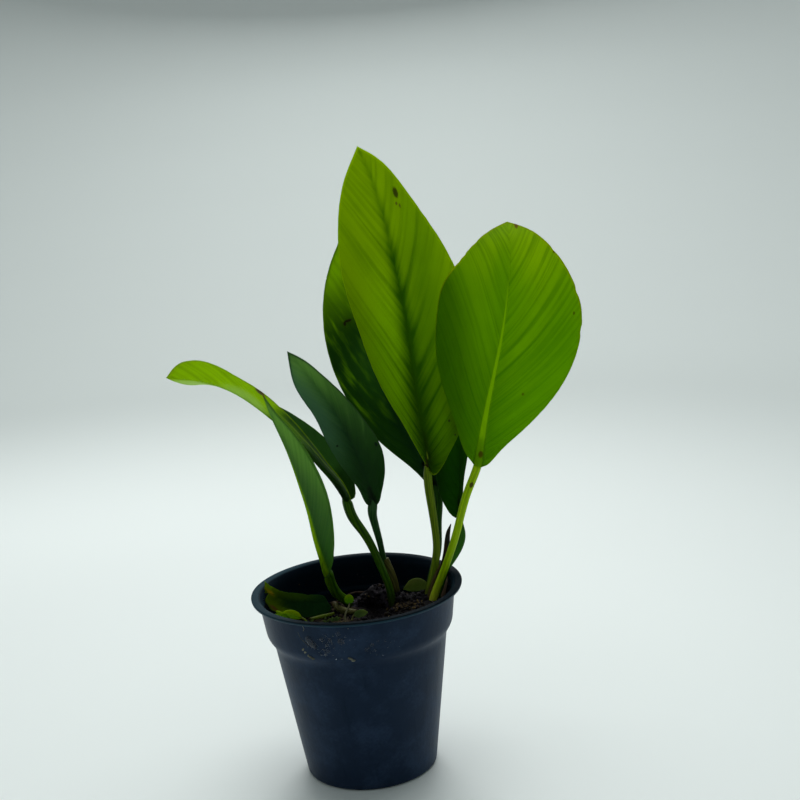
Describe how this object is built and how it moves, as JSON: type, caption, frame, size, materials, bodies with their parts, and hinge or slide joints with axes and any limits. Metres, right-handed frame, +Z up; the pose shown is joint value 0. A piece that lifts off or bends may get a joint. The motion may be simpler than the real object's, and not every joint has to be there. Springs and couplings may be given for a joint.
{
  "type": "potted anubias congensis",
  "caption": "Potted water plant with broad pointed leaves on long stalks, rising from a creeping rhizome in soil, in a tapered round nursery pot.",
  "frame": {"origin": "middle of the pot's flat base, on the surface it stands on", "axes": "+Z up, +X to the right as the picture shows the plant, +Y away from the viewer"},
  "size_m": [0.171, 0.0925, 0.2625],
  "materials": {
    "pot_plastic": "satin",
    "earth": "matte",
    "rhizome_bark": "matte",
    "dry_brown": "matte",
    "leaf_light": "satin",
    "leaf_dark": "satin",
    "stalk_green": "satin",
    "sprout_green": "satin"
  },
  "bodies": {
    "root": {"pot": "pot_plastic", "soil": "earth", "rhizome": "rhizome_bark", "sheath_middle": "dry_brown", "sheath_right": "dry_brown", "new_shoot": "dry_brown", "leaf_tall": "leaf_light", "leaf_round": "leaf_light", "leaf_arching": "leaf_light", "leaf_back": "leaf_dark", "leaf_dark": "leaf_dark", "leaf_narrow": "leaf_dark", "leaf_hidden": "leaf_dark", "leaf_torn": "leaf_dark", "leaf_small": "leaf_dark", "seedling_lime": "sprout_green", "seedling_round": "sprout_green", "seedling_olive": "leaf_dark", "strip_olive": "stalk_green", "strip_lime": "sprout_green"}
  },
  "joints": []
}
